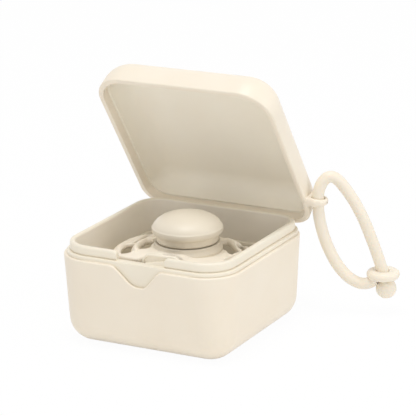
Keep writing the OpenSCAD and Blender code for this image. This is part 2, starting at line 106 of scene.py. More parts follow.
# the tray: its wall's two insets and its heights, the finger tab, the cup and the legs
TRAY_OUT, TRAY_IN = 4.9, 6.5
TRAY_Z, TRAY_T, TRAY_TOP = 17.0, 1.6, 25.6
TAB_LEFT, TAB_RIGHT, TAB_R, TAB_TOP = 0.1, 15.5, 3.4, 37.4
TAB_BORDER, TAB_RECESS, TAB_FOOT_OUT, TAB_FOOT_Z = 0.6, 0.45, 3.5, 33.95
CUP_X, CUP_Y, CUP_IN, CUP_OUT, CUP_TOP = 1.4, 0.9, 11.2, 12.8, 28.6
LEG_AT, LEG_R, LEG_TOP = 19, 2.3, 17.2

# the pacifier: the shield's middle height, the radius of its bow, its thickness and its edge,
# the knob's dome and the nipple's bulb
SHIELD_Z, BEND, SHIELD_T, SHIELD_ROUND = 31.6, 110.0, 1.8, 0.5
DOME_R, DOME_Z, DOME_H = 12.7, 37.8, 6.1
BULB_R, BULB_Z = 8, 13.2

# the lid's lug, and the strap with its eye and ball
LUG_HOLE, LUG_R, LUG_ROOT, LUG_HALF = 2.25, 3.65, -4.4, 1.7
STRAP_TURN, STRAP_R = math.radians(28.4), 2.15
EYE_R, EYE_HOLE, EYE_HALF, EYE_BEVEL = 6.1, 2.25, 1.6, 0.5
BALL_R = 3.8

# features of a moulded surface to the metre: its mottle, its gloss and its grain
MOTTLE, GLOSS, GRAIN = 45, 130, 4200


# ---------------------------------------------------------------- camera
def aim_camera():
    """The photograph's view: its three angles, and the camera's place along its own axes."""
    azimuth, elevation, roll = (math.radians(a) for a in (28.4147, 17.0665, -1.13239))
    aside, above, behind = 8.35854, 43.26575, 842.529
    back = Vector((sin(azimuth) * cos(elevation), -cos(azimuth) * cos(elevation), sin(elevation)))
    right = Vector((cos(azimuth), sin(azimuth), 0))
    up = back.cross(right)
    x_axis = right * cos(roll) + up * sin(roll)
    y_axis = up * cos(roll) - right * sin(roll)
    place = (x_axis * aside + y_axis * above + back * behind) * MM
    data = bpy.data.cameras.new("camera")
    data.sensor_width = 36
    data.lens = 200.31
    data.clip_start, data.clip_end = 0.05, 20
    camera = bpy.data.objects.new("camera", data)
    rows = [(x_axis[i], y_axis[i], back[i], place[i]) for i in range(3)]
    camera.matrix_world = Matrix([*rows, (0, 0, 0, 1)])
    bpy.context.scene.collection.objects.link(camera)
    bpy.context.scene.camera = camera


# ---------------------------------------------------------------- materials
def clear_nodes(owner):
    """The emptied node tree of a material or a world."""
    owner.use_nodes = True
    owner.node_tree.nodes.clear()
    return owner.node_tree


def add_node(tree, kind, values=()):
    """A new shader node, with some of its inputs set."""
    node = tree.nodes.new("ShaderNode" + kind)
    for socket, value in dict(values).items():
        node.inputs[socket].default_value = value
    return node


def moulded(name, tone, other, rough, grain=0.02, soft=0.04):
    """A moulded plastic or silicone: two close tones, a fine grain and uneven gloss."""
    mat = bpy.data.materials.new(name)
    tree = clear_nodes(mat)
    link = tree.links.new
    where = add_node(tree, "TexCoord").outputs["Object"]

    def noise(scale, detail):
        node = add_node(tree, "TexNoise", {"Scale": scale, "Detail": detail})
        link(where, node.inputs["Vector"])
        return node.outputs["Fac"]

    def ramp(source, low, high, to_low, to_high):
        values = {"From Min": low, "From Max": high, "To Min": to_low, "To Max": to_high}
        node = add_node(tree, "MapRange", values)
        link(source, node.inputs["Value"])
        return node.outputs[0]

    body = {"IOR": 1.49, "Subsurface Weight": soft}
    body |= {"Subsurface Radius": (1.0, 0.75, 0.5), "Subsurface Scale": 0.001}
    skin = add_node(tree, "BsdfPrincipled", body)
    link(skin.outputs[0], add_node(tree, "OutputMaterial").inputs[0])
    blend = add_node(tree, "Mix")
    blend.data_type = "RGBA"
    blend.inputs["A"].default_value = (*tone, 1)
    blend.inputs["B"].default_value = (*other, 1)
    link(ramp(noise(MOTTLE, 3), 0.35, 0.65, 0, 1), blend.inputs["Factor"])
    link(blend.outputs["Result"], skin.inputs["Base Color"])
    link(ramp(noise(GLOSS, 4), 0.3, 0.7, rough - 0.05, rough + 0.05), skin.inputs["Roughness"])
    bump = add_node(tree, "Bump", {"Strength": grain * 10, "Distance": 0.00002})
    link(noise(GRAIN, 2), bump.inputs["Height"])
    link(bump.outputs[0], skin.inputs["Normal"])
    return mat


def drawn_steel():
    """The bright drawn wire of the hinge's pin."""
    mat = moulded("drawn_steel", (0.52, 0.53, 0.54), (0.46, 0.47, 0.48), 0.3, soft=0)
    skin = next(n for n in mat.node_tree.nodes if n.type == "BSDF_PRINCIPLED")
    skin.inputs["Metallic"].default_value = 1.0
    return mat


def srgb(colour):
    """A colour of 0 to 255 as the light that it stands for."""
    return tuple(((c / 255 + 0.055) / 1.055) ** 2.4 for c in colour)


def warm(name, colour, rough, deeper=2, **finish):
    """A moulded material whose second tone is a little deeper and yellower than the first."""
    other = [c - deeper - k for k, c in enumerate(colour)]
    return moulded(name, srgb(colour), srgb(other), rough, **finish)


# ---------------------------------------------------------------- mesh helpers
@contextmanager
def editing(mesh):
    """A mesh opened for editing, and written back."""
    bm = bmesh.new()
    bm.from_mesh(mesh)
    yield bm
    bm.to_mesh(mesh)
    bm.free()


def crease(mesh, degrees):
    """Smooth shading that stays crisp at edges sharper than the angle."""
    with editing(mesh) as bm:
        bmesh.ops.recalc_face_normals(bm, faces=bm.faces)
        for f in bm.faces:
            f.smooth = True
        for e in bm.edges:
            if len(e.link_faces) == 2:
                e.smooth = e.calc_face_angle(0) < math.radians(degrees)


def dressed(name, data, body, node):
    """An object that rides on a body and stands for a CAD node, which it hides."""
    obj = bpy.data.objects.new(name, data)
    bpy.context.scene.collection.objects.link(obj)
    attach(obj, body)
    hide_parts(node)
    return obj


def solid(name, shape, mat, body, node, sharp=35, move=None):
    """A piece from a shape's points, in mm, and faces."""
    points, faces = shape
    at = [Vector(p) if move is None else move(Vector(p)) for p in points]
    mesh = bpy.data.meshes.new(name)
    mesh.from_pydata([p * MM for p in at], [], [tuple(int(i) for i in f) for f in faces])
    mesh.validate()
    mesh.materials.append(mat)
    crease(mesh, sharp)
    return dressed(name, mesh, body, node)


def merged(obj):
    """Welds the doubled points of a mesh, such as those on a turning axis."""
    with editing(obj.data) as bm:
        bmesh.ops.remove_doubles(bm, verts=bm.verts, dist=0.01 * MM)
    return obj


def even_out(obj, sharp):
    """Evens out the small steps that a grid leaves along the edges of a plate."""
    axes = {"use_axis_" + a: True for a in "xyz"}
    with editing(obj.data) as bm:
        for _ in range(3):
            bmesh.ops.smooth_vert(bm, verts=bm.verts, factor=0.5, **axes)
    crease(obj.data, sharp)


def soften(obj, width, sharper_than):
    """Rounds the edges that are sharper than an angle."""
    mod = obj.modifiers.new("soft_edges", "BEVEL")
    mod.width = width * MM
    mod.segments = 3
    mod.limit_method = "ANGLE"
    mod.angle_limit = math.radians(sharper_than)
    mod.harden_normals = False


def bake(obj):
    """Puts the result of a piece's modifiers into its mesh."""
    graph = bpy.context.evaluated_depsgraph_get()
    graph.update()
    made = bpy.data.meshes.new_from_object(obj.evaluated_get(graph))
    obj.modifiers.clear()
    old = obj.data
    obj.data = made
    bpy.data.meshes.remove(old)
    made.name = obj.name


def paint_inside_lighter(obj, mat, span, rows):
    """Gives a second material, a lighter copy of the plastic painted as the light inside, to the last
    rows of each station's faces, and to the last cap.
    """
    faces = obj.data.polygons
    obj.data.materials.append(mat)
    for k, face in enumerate(faces):
        if k == len(faces) - 1 or k % span >= span - rows:
            face.material_index = 1


# ---------------------------------------------------------------- outlines and turned forms
def spread(a, b, step):
    """Even values from a to b, no further apart than the step."""
    n = max(1, int(math.ceil(abs(b - a) / step)))
    return [a + (b - a) * k / n for k in range(n + 1)]


def both(values):
    """The values with their mirror images."""
    return [s * v for s in (-1, 1) for v in values]


def rounded(i0, i1, top, r, steps=6):
    """Over a rim from the outside at inset i0 to the inside at inset i1, as (inset, z)."""
    r = min(r, (i1 - i0) / 2)
    turn = np.linspace(0, QUARTER, steps)
    first = [(i0 + r * (1 - cos(a)), top - r + r * sin(a)) for a in turn]
    return first + [(i1 - r * (1 - sin(a)), top - r + r * cos(a)) for a in turn]


def lathe(profile, steps, centre=(0, 0, 0), closed=True):
    """Turns [(radius, z), ...] about a vertical axis; closed joins its ends."""
    n = len(profile)
    x, y, z = centre
    points, faces = [], []
    for j in range(steps):
        a = WHOLE * j / steps
        points += [(x + r * cos(a), y + r * sin(a), z + h) for r, h in profile]
    for j in range(steps):
        a, b = j * n, ((j + 1) % steps) * n
        for k in range(n if closed else n - 1):
            q = (k + 1) % n
            faces.append((a + k, b + k, b + q, a + q))
    return points, faces


def prism(outline, x0, x1):
    """An outline of [(y, z), ...] drawn out along x."""
    m = len(outline)
    points = [(x, y, z) for x in (x0, x1) for y, z in outline]
    faces = [list(range(m))[::-1], list(range(m, 2 * m))]
    faces += [(k, (k + 1) % m, m + (k + 1) % m, m + k) for k in range(m)]
    return points, faces


# ---------------------------------------------------------------- skins round the case's plan
def stations(front, back, corner_steps=24):
    """Places round the case's plan, counter-clockwise: centre and outward direction."""
    places = []

    def arc(cx, cy, start):
        for k in range(corner_steps + 1):
            a = math.radians(start + 90 * k / corner_steps)
            places.append((cx, cy, cos(a), sin(a)))

    def inner(values):
        return sorted(x for x in values if abs(x) < MID_X - 2)

    side = spread(-MID_Y, MID_Y, 4)[1:-1]
    arc(MID_X, MID_Y, 0)
    places += [(x, MID_Y, 0, 1) for x in inner(back)[::-1]]
    arc(-MID_X, MID_Y, 90)
    places += [(-MID_X, y, -1, 0) for y in side[::-1]]
    arc(-MID_X, -MID_Y, 180)
    places += [(x, -MID_Y, 0, -1) for x in inner(front)]
    arc(MID_X, -MID_Y, 270)
    places += [(MID_X, y, 1, 0) for y in side]
    return places


def is_front(place):
    """Whether a place is on the straight front side."""
    return place[3] == -1 and place[2] == 0


def is_back(place):
    """Whether a place is on the straight side of the hinge."""
    return place[3] == 1 and place[2] == 0


def base_corner(cy, inset, z):
    """What the base's corner radius gains at a height."""
    return CORNER_GAIN * min(max((z - GAIN_FROM) / (GAIN_TO - GAIN_FROM), 0), 1)


def tub_corner(cy, inset, z):
    """The tub follows the shell's corners at the front, and keeps the plan's at the hinge."""
    return base_corner(cy, inset, z) * (0.8 if cy < 0 else 0)


def lid_corner(cy, inset, z):
    """The lid's corners by the hinge are tighter on the outside, and less so further in."""
    tighter, fades_by = 3, 10.5
    return 0 if cy < 0 else -tighter * (1 - inset / fades_by)


def plan_point(place, inset, z, corner):
    """Where a place's outward ray meets the inset at a height."""
    cx, cy, nx, ny = place
    at = [cx + nx * (CORNER - inset), cy + ny * (CORNER - inset), z]
    if abs(cx) == MID_X and abs(cy) == MID_Y:
        grow = corner(cy, inset, z)
        at[0] += grow * (nx - math.copysign(1, cx))
        at[1] += grow * (ny - math.copysign(1, cy))
    return at


def skin(places, profile, cap_first=True, cap_last=True, corner=base_corner):
    """Points and faces through the profile [(inset, z), ...] of each place."""
    rows = [profile(p) for p in places]
    m, n = len(rows), len(rows[0])
    points = [plan_point(places[j], i, z, corner) for j in range(m) for i, z in rows[j]]
    faces = []
    for j in range(m):
        a, b = j * n, ((j + 1) % m) * n
        faces += [(a + k, b + k, b + k + 1, a + k + 1) for k in range(n - 1)]
    if cap_first:
        faces.append([j * n for j in range(m)][::-1])
    if cap_last:
        faces.append([j * n + n - 1 for j in range(m)])
    return points, faces


def wall_inset(off, z):
    """Inset at a height of the drafted face that lies off inside the shell's outer one."""
    return off + SLOPE * (SHELL_H - z)


def on_wall(off, z):
    """The point (inset, z) of that face."""
    return wall_inset(off, z), z


def floor_curve(off, z0, r, steps=14):
    """From a flat floor up a fillet into a drafted wall, as (inset, z)."""
    out = []
    for k in range(steps + 1):
        a = QUARTER * k / steps
        z = z0 + r * (1 - cos(a))
        out.append((wall_inset(off, z) + r * (1 - sin(a)), z))
    i, z = out[0]
    return [(i + 0.6, z), *out]


# ---------------------------------------------------------------- plates with holes
def away(px, py, path):
    """Distance of each grid point from a polyline."""
    best = np.full(px.shape, 1e9)
    for (ax, ay), (bx, by) in zip(path[:-1], path[1:]):
        dx, dy = bx - ax, by - ay
        t = np.clip(((px - ax) * dx + (py - ay) * dy) / max(dx * dx + dy * dy, 1e-12), 0, 1)
        best = np.minimum(best, np.hypot(px - ax - t * dx, py - ay - t * dy))
    return best


def blended_max(a, b, k):
    """The greater of two distances, blended over the length k."""
    h = np.clip(0.5 + 0.5 * (a - b) / k, 0, 1)
    return b + (a - b) * h + k * h * (1 - h)


def smooth_step(t):
    """From 0 to 1, level at both ends."""
    t = np.clip(t, 0, 1)
    return t * t * (3 - 2 * t)


def half_round(d, r):
    """Height of a half-round rib, from 0 to 1, at distance d from its middle."""
    return np.sqrt(np.clip(1 - (d / r) ** 2, 0, 1))


def bullnose(d, r):
    """Height of a rounded edge of radius r at depth d inside it, from 0 to r."""
    t = np.clip(-d / r, 0, 1)
    return r * np.sqrt(np.clip(1 - (1 - t) ** 2, 0, 1))


def snapped_grid(field, low, high, step):
    """A grid whose points near the line field(x, y) = 0 are moved onto it, and which those are.

    Two Newton steps down the field's slope bring them there.
    """
    x, y = np.meshgrid(*(np.arange(low[k], high[k] + step / 2, step) for k in (0, 1)), indexing="ij")
    nudge = step * 0.2
    for _ in range(2):
        d = field(x, y)
        near = np.abs(d) < step * 0.62
        slope_x = (field(x + nudge, y) - field(x - nudge, y)) / (2 * nudge)
        slope_y = (field(x, y + nudge) - field(x, y - nudge)) / (2 * nudge)
        size = np.maximum(slope_x**2 + slope_y**2, 0.2)
        x = np.where(near, x - d * slope_x / size, x)
        y = np.where(near, y - d * slope_y / size, y)
    return x, y, near


def plate(field, top, bottom, low, high, step):
    """A plate over the grid where field(x, y) < 0, between two height functions of (x, y, field)."""
    x, y, near = snapped_grid(field, low, high, step)
    d = field(x, y)
    edge = near & (np.abs(d) < step * 0.3)
    inside = (d < 0) | edge
    d = np.where(edge, 0.0, np.minimum(d, 0.0))
    over, under = top(x, y, d), bottom(x, y, d)
    index_top, index_bottom, points = {}, {}, []
    for c in zip(*np.nonzero(inside)):
        index_top[c] = index_bottom[c] = len(points)
        if edge[c]:
            points.append((x[c], y[c], (over[c] + under[c]) / 2))
        else:
            index_bottom[c] = len(points) + 1
            points += [(x[c], y[c], over[c]), (x[c], y[c], under[c])]
    faces = []
    for i in range(x.shape[0] - 1):
        for j in range(x.shape[1] - 1):
            ring = [c for c in ((i, j), (i + 1, j), (i + 1, j + 1), (i, j + 1)) if inside[c]]
            if len(ring) < 3 or (len(ring) == 3 and all(edge[c] for c in ring)):
                continue
            faces.append([index_top[c] for c in ring])
            faces.append([index_bottom[c] for c in reversed(ring)])
    return points, faces


# ---------------------------------------------------------------- case
def notch_z(x):
    """Top of the shell's front wall over the thumb notch."""
    half = NOTCH_LEFT if x < NOTCH_X else NOTCH_RIGHT
    t = (abs(x - NOTCH_X) - NOTCH_FLAT) / (half - NOTCH_FLAT)
    return SHELL_H - NOTCH_DEEP * (1 + cos(pi * min(max(t, 0), 1))) / 2


def case_shell(mat):
    """The outer shell, with the thumb notch in front and a low stretch for the knuckles behind."""
    low_end = SIDE_END + 0.4
    bend_z = 23.5  # the wall starts to thin towards the notch here
    back = spread(-SIDE_SPREAD, SIDE_SPREAD, 4) + both([low_end, low_end + 0.02])
    front = spread(-SIDE_SPREAD, -12.5, 3) + spread(-12, 12, 0.4) + spread(14, SIDE_SPREAD, 3)

    def profile(p):
        top, thick = SHELL_H, SHELL_T
        if is_front(p):
            top = notch_z(p[0])
            thick = SHELL_T - (SHELL_T - NOTCH_WALL) * min(1, SHELL_H - top)
        if is_back(p) and abs(p[0]) <= low_end:
            top = HINGE_Z - KNUCKLE_ROOM
        out = floor_curve(0, 0, SHELL_FILLET)
        out += [on_wall(0, z) for z in (12, 16, 20, bend_z)]
        out += [on_wall(i, z) for i, z in rounded(0, thick, top, SHELL_ROUND)]
        out += [on_wall(thick, bend_z), on_wall(SHELL_T, bend_z - 0.5), on_wall(SHELL_T, 16)]
        return out + floor_curve(SHELL_T, SHELL_T, SHELL_FILLET - SHELL_T, 6)[::-1]

    solid("case_shell", skin(stations(front, back), profile), mat, "base", "outer_shell")


def lip_z(x):
    """Top of the tub's lip along the front, with the gap for a thumb."""
    for edge, side in ((GAP_LEFT, -1), (GAP_RIGHT, 1)):
        d = (x - edge) * side
        if 0 < d < GAP_ROUND:
            return LIP_TOP - GAP_ROUND + math.sqrt(GAP_ROUND**2 - (GAP_ROUND - d) ** 2)
        if d >= GAP_ROUND:
            return LIP_TOP
    return LEDGE_Z


def tub_profile(p):
    """From under the ledge, out and over the lip, down the inside wall to the floor."""
    low, lip = SHELL_H + 0.02, LIP_TOP
    if is_front(p):
        low = min(low, notch_z(p[0]) - 0.6)
        lip = lip_z(p[0])
    face = TUB_OUT - 0.02  # behind the notch, a hair outside the ledge's own face
    out = [on_wall(TUB_SKIRT, low), on_wall(face + 0.17, low), on_wall(face, low + 0.15)]
    if low < SHELL_H - 0.5:
        out.append(on_wall(face, min(SHELL_H, low + 1.2)))
    else:
        out.append((TUB_OUT, SHELL_H + 0.4))
    out += [(TUB_OUT, LEDGE_Z - 0.35), (TUB_OUT + 0.1, LEDGE_Z - 0.1), (TUB_OUT + 0.35, LEDGE_Z)]
    under = min(0.5, max(0, lip - LIP_ROUND - LEDGE_Z))
    cut = TUB_LIP + 0.9 * under
    out += [(cut, LEDGE_Z), (cut, LEDGE_Z + 0.6 * under), (TUB_LIP, LEDGE_Z + under)]
    out += [(i, max(LEDGE_Z, z)) for i, z in rounded(TUB_LIP, TUB_IN, lip, LIP_ROUND)]
    out.append((TUB_IN, LEDGE_Z))
    out += [on_wall(TUB_IN, z) for z in (30, 25, 19, 13)]
    return out + floor_curve(TUB_IN, TUB_FLOOR, TUB_FILLET, 8)[::-1]


def tub_skin(mat, lighter_inside_mat):
    """The tub, whose lip breaks off at the thumb's gap and gives way to the middle knuckle."""
    edge = [GAP_ROUND * (1 - cos(a)) for a in np.linspace(0.12, QUARTER, 7)]
    front = spread(-SIDE_SPREAD, -12, 2) + spread(-8.5, 9.9, 0.6) + spread(13, SIDE_SPREAD, 2)
    front += [GAP_LEFT + 0.01, GAP_LEFT - 0.005] + [GAP_LEFT - e for e in edge]
    front += [GAP_RIGHT - 0.01, GAP_RIGHT + 0.005] + [GAP_RIGHT + e for e in edge]
    room = SIDE_START
    back = both(spread(8.5, SIDE_SPREAD, 3) + [room, room + 0.01]) + spread(-7.2, 7.2, 1.2)
    inside_rows = 17

    def clear_of_knuckle(v):
        y, z = v.y - HINGE_Y, v.z - HINGE_Z
        if abs(v.x) <= room and y * y + z * z < KNUCKLE_ROOM**2:
            v.y = HINGE_Y - math.sqrt(KNUCKLE_ROOM**2 - z * z)
        return v

    places = stations(front, back)
    shape = skin(places, tub_profile, cap_first=False, corner=tub_corner)
    obj = solid("tub_skin", shape, mat, "base", "inner_tub", move=clear_of_knuckle)
    paint_inside_lighter(obj, lighter_inside_mat, len(tub_profile(places[0])) - 1, inside_rows)


# ---------------------------------------------------------------- tray
def tab_z(x):
    """Top of the tray's wall along the front, up over the tab."""
    d = min(x - TAB_LEFT, TAB_RIGHT - x)
    if d <= 0:
        return TRAY_TOP
    if d >= TAB_R:
        return TAB_TOP
    return TAB_TOP - TAB_R + math.sqrt(TAB_R**2 - (TAB_R - d) ** 2)


def recess_z(x):
    """Top of the tab's recess."""
    d, r = min(x - TAB_LEFT, TAB_RIGHT - x) - TAB_BORDER, TAB_R - TAB_BORDER
    return TAB_TOP - TAB_BORDER - 0.1 - (r - math.sqrt(max(r * r - (r - min(d, r)) ** 2, 0)))


def tray_profile(p):
    """Up the tray's outer face, over its rim or its tab, and down the inside."""
    x = p[0]
    top = tab_z(x) if is_front(p) else TRAY_TOP
    border = TAB_BORDER + 0.05
    on_tab = is_front(p) and TAB_LEFT + border < x < TAB_RIGHT - border
    sunk = TAB_RECESS if on_tab else 0
    brow = recess_z(x) if on_tab else top - 0.6
    out = [on_wall(TRAY_OUT + 0.3, TRAY_Z), on_wall(TRAY_OUT, TRAY_Z + 0.3)]
    out += [on_wall(TRAY_OUT, z) for z in (20, min(top - 1, 24))]
    if on_tab and TAB_LEFT + 1.2 < x < GAP_RIGHT - 0.1:
        # in the gap of the lip, the tab's foot bulges out and rises to the right
        foot = TAB_FOOT_Z + 0.2 * (x - TAB_LEFT - 1)
        under = TAB_FOOT_Z - 0.09
        out += [(TRAY_OUT, under), (TAB_FOOT_OUT, under), (TAB_FOOT_OUT + 0.25, foot - 0.15)]
    else:
        foot = 33.2 if on_tab else 24.3
        out += [(TRAY_OUT, foot - down) for down in (0.2, 0.15, 0.1)]
    brow = max(brow, foot + 0.4)
    out += [(TRAY_OUT + sunk, foot), (TRAY_OUT + sunk, brow - 0.2), (TRAY_OUT, brow)]
    rim = rounded(TRAY_OUT, TRAY_IN, top, 0.5, 5)
    out += [(i + SLOPE * max(0, SHELL_H - z), z) for i, z in rim]
    out += [on_wall(TRAY_IN, min(top - 1, 25)), on_wall(TRAY_IN, 19.2)]
    return out + [on_wall(TRAY_IN + 0.6, 18.6), on_wall(TRAY_IN + 0.6, 18.0)]


def tray_rim(mat):
    """The tray's wall, with the finger tab that stands in the gap of the tub's lip."""
    bends = [0.0] + [TAB_R * (1 - cos(a)) for a in np.linspace(0.1, QUARTER, 9)]
    borders = [-0.3, TAB_BORDER, TAB_BORDER + 0.1]
    front = spread(-SIDE_SPREAD, -1, 3) + spread(17, SIDE_SPREAD, 2)
    front += spread(TAB_LEFT + TAB_R, TAB_RIGHT - TAB_R, 1.0)
    front += [TAB_LEFT + b for b in bends + borders] + [TAB_RIGHT - b for b in bends + borders]
    front += [GAP_RIGHT - 0.08, GAP_RIGHT - 0.14]
    places = stations(front, spread(-SIDE_SPREAD, SIDE_SPREAD, 4))
    solid("tray_rim", skin(places, tray_profile, False, False, tub_corner), mat, "base", "steam_tray")


def tray_floor(mat):
    """The tray's floor, with its drain slots, its pour holes and the cup's opening."""
    under_wall = wall_inset(TRAY_IN - 0.5, TRAY_Z + 0.8)
    half_x, half_y, corner = (size - under_wall for size in (HALF_W, HALF_D, CORNER))
    slot_half, slot_r, slot_y, pitch = 9.9, 1.1, 16.3, 4.4
    pour_x, pour_half, pour_r = 19.2, 6, 4.0
    rows = both([slot_y + pitch * k for k in range(3)])
    holes = [([(-slot_half, y), (slot_half, y)], slot_r) for y in rows]
    holes += [([(x, -pour_half), (x, pour_half)], pour_r) for x in both([pour_x])]
    r = 0.35

    def field(x, y):
        qx, qy = np.abs(x) - half_x + corner, np.abs(y) - half_y + corner
        d = np.hypot(np.maximum(qx, 0), np.maximum(qy, 0)) + np.minimum(np.maximum(qx, qy), 0) - corner
        d = np.maximum(d, CUP_IN - np.hypot(x - CUP_X, y - CUP_Y))
        for path, hole in holes:
            d = np.maximum(d, hole - away(x, y, path))
        return d

    def top(x, y, d):
        return TRAY_Z + TRAY_T - r + bullnose(d, r)

    def bottom(x, y, d):
        return TRAY_Z + r - bullnose(d, r)

    shape = plate(field, top, bottom, (-29, -29), (29, 29), 0.4)
    solid("tray_floor", shape, mat, "base", "steam_tray", sharp=50)


def tray_cup(mat):
    """The ring that holds the shield up, with four windows."""
    window_half, window_r = 4, 12
    levels = [18.3, 19.0, 24.4, CUP_TOP - 0.4, CUP_TOP]
    window_row = 1
    wide = math.asin(window_half / window_r)
    beside = [wide + e for e in (0, 0.02, 0.1, 0.2, 0.32, 0.45)]
    turns = both(beside + [wide * f for f in (0, 0.35, 0.7)])
    sides = sorted({round((q * QUARTER + a) % WHOLE, 5) for q in range(4) for a in turns})
    count, n = len(sides), 2 * len(levels)

    def in_window(j):
        """Whether the strip from one side to the next lies in a window."""
        a, b = sides[j], sides[(j + 1) % count]
        mid = (a + (b if b > a else b + WHOLE)) / 2
        return abs((mid + pi / 4) % QUARTER - pi / 4) < wide

    points = [(r * cos(a), r * sin(a), z) for a in sides for z in levels for r in (CUP_IN, CUP_OUT)]
    faces = []
    for j in range(count):
        a, b = j * n, ((j + 1) % count) * n
        for k in range(len(levels) - 1):
            lo, hi = 2 * k, 2 * k + 2
            if k == window_row and in_window(j):
                faces.append((a + lo, b + lo, b + lo + 1, a + lo + 1))
                faces.append((a + hi, a + hi + 1, b + hi + 1, b + hi))
                continue
            faces.append((a + lo + 1, b + lo + 1, b + hi + 1, a + hi + 1))
            faces.append((a + lo, a + hi, b + hi, b + lo))
            if k == window_row and in_window((j - 1) % count):
                faces.append((a + lo, a + lo + 1, a + hi + 1, a + hi))
            if k == window_row and in_window((j + 1) % count):
                faces.append((b + lo, b + hi, b + hi + 1, b + lo + 1))
        faces.append((a + n - 2, a + n - 1, b + n - 1, b + n - 2))
    cup = solid("tray_cup", (points, faces), mat, "base", "steam_tray", move=over_cup)
    soften(cup, 0.25, 40)


def tray_legs(mat):
    """Four short legs from the tub's floor to the tray's."""
    foot = [(0, TUB_FLOOR), (LEG_R - 0.3, TUB_FLOOR), (LEG_R, TUB_FLOOR + 0.3)]
    points, faces = [], []
    for x in both([LEG_AT]):
        for y in both([LEG_AT]):
            more, quads = lathe([*foot, (LEG_R, LEG_TOP), (0, LEG_TOP)], 32, (x, y, 0), False)
            faces += [[i + len(points) for i in f] for f in quads]
            points += more
    merged(solid("tray_legs", (points, faces), mat, "base", "steam_tray"))


# ---------------------------------------------------------------- lid and hinge
def opened(v):
    """A point of the closed lid, moved to where the lid stands open."""
    y, z = v.y - HINGE_Y, v.z - HINGE_Z
    back, up = y * cos(OPEN) + z * sin(OPEN), z * cos(OPEN) - y * sin(OPEN)
    return Vector((v.x, HINGE_Y + back, HINGE_Z + up))


def lid_profile(p):
    """From the crown's middle down the outside, round the rim, up over the rabbet to the vault."""
    low, rim_r, side_z, vault = RIM_Z, 0.6, 37.0, LID_Z - LID_T
    if is_back(p) and MIDDLE_END < abs(p[0]) < SIDE_END + 0.3:
        low = HINGE_Z + KNUCKLE_ROOM + 0.02
    outside = [(LID_FILLET + 0.6, LID_Z)]
    for t in np.linspace(QUARTER, 0, 20):
        outside.append((LID_FILLET * (1 - cos(t)), LID_Z - LID_FILLET * (1 - sin(t))))
    rim = [(rim_r * (1 - cos(t)), low + rim_r * (1 - sin(t))) for t in np.linspace(0, QUARTER, 6)]
    outside += [(0, side_z), *rim[:-1]]
    inside = [rim[-1], (1.8, low), (1.94, low + 0.06), (LID_T, low + 0.2)]
    inside += [(LID_T, RABBET_Z - 0.1), (LID_T + 0.08, RABBET_Z), (RABBET_T - 0.18, RABBET_Z)]
    inside += [(RABBET_T - 0.05, RABBET_Z + 0.06), (RABBET_T, RABBET_Z + 0.2)]
    for t in np.linspace(0, QUARTER, 16):
        inside.append((RABBET_T + LID_FILLET_IN * (1 - cos(t)), vault - LID_DEPTH_IN * (1 - sin(t))))
    inside.append((RABBET_T + LID_FILLET_IN + 0.6, vault))
    drafted = [(i + LID_DRAFT * (z - RIM_Z), z) for i, z in outside]
    return [(i - LID_EASE, z) for i, z in drafted + inside]


def lid_skin(mat, lighter_inside_mat):
    """The lid's shell, cut up behind to clear the side knuckles."""
    ends = [x + e for x in (MIDDLE_END, SIDE_END + 0.3) for e in (-0.01, 0.01)]
    back = both(spread(17, SIDE_SPREAD, 2.5) + [11.5, *ends]) + spread(-6, 6, 3)
    places = stations(spread(-SIDE_SPREAD, SIDE_SPREAD, 4), back, corner_steps=28)
    inside_rows = 21
    shape = skin(places, lid_profile, corner=lid_corner)
    obj = solid("lid_skin", shape, mat, "lid", "lid_shell", move=opened)
    paint_inside_lighter(obj, lighter_inside_mat, len(lid_profile(places[0])) - 1, inside_rows)


def hinge_arc(r, start, turn, steps):
    """Points (y, z) round the hinge's axis."""
    angles = [start + turn * k / steps for k in range(steps + 1)]
    return [(HINGE_Y + r * cos(a), HINGE_Z + r * sin(a)) for a in angles]


def knuckle(name, x0, x1, outline, mat, body, node, move=None):
    """A knuckle with its web, bored for the pin."""
    obj = solid(name, prism(outline, x0, x1), mat, body, node, move=move)
    soften(obj, 0.3, 50)
    points, faces = prism(hinge_arc(PIN_BORE, 0, WHOLE, 32)[:-1], x0 - 1, x1 + 1)
    mesh = bpy.data.meshes.new(name + "_bore")
    mesh.from_pydata([Vector(p) * MM for p in points], [], faces)
    cutter = bpy.data.objects.new(name + "_bore", mesh)
    bpy.context.scene.collection.objects.link(cutter)
    cut = obj.modifiers.new("bore", "BOOLEAN")
    cut.operation = "DIFFERENCE"
    cut.object = cutter
    cut.solver = "EXACT"
    bake(obj)
    bpy.data.objects.remove(cutter)
    crease(obj.data, 35)
    return obj


def hinge(mat_tub, mat_lid):
    """Two knuckles on the tub, and between them the lid's, each with a web to its own wall."""
    tub_wall = HINGE_Y - 3.2
    tub_web = hinge_arc(KNUCKLE_R, QUARTER, -pi, 28)
    tub_web += [(tub_wall, HINGE_Z - KNUCKLE_R), (tub_wall, WEB_TOP), (HINGE_Y - 0.6, WEB_TOP)]
    lid_wall, top = HINGE_Y - 0.4, RIM_Z + 5.6
    lid_web = hinge_arc(KNUCKLE_R, -pi, pi, 28)
    lid_web += [(HINGE_Y + KNUCKLE_R, top - 2.2), (HINGE_Y + 1.7, top - 1.1), (HINGE_Y + 0.3, top)]
    lid_web += [(lid_wall, top), (lid_wall, RIM_Z), (HINGE_Y - 1.6, RIM_Z - 0.2)]
    for side, x0, x1 in (("left", -SIDE_END, -SIDE_START), ("right", SIDE_START, SIDE_END)):
        knuckle("side_knuckle_" + side, x0, x1, tub_web, mat_tub, "base", "inner_tub")
    middle = knuckle("middle_knuckle", -MIDDLE_END, MIDDLE_END, lid_web, mat_lid, "lid", "lid_shell")
    for v in middle.data.vertices:
        v.co = opened(v.co / MM) * MM
    crease(middle.data, 35)


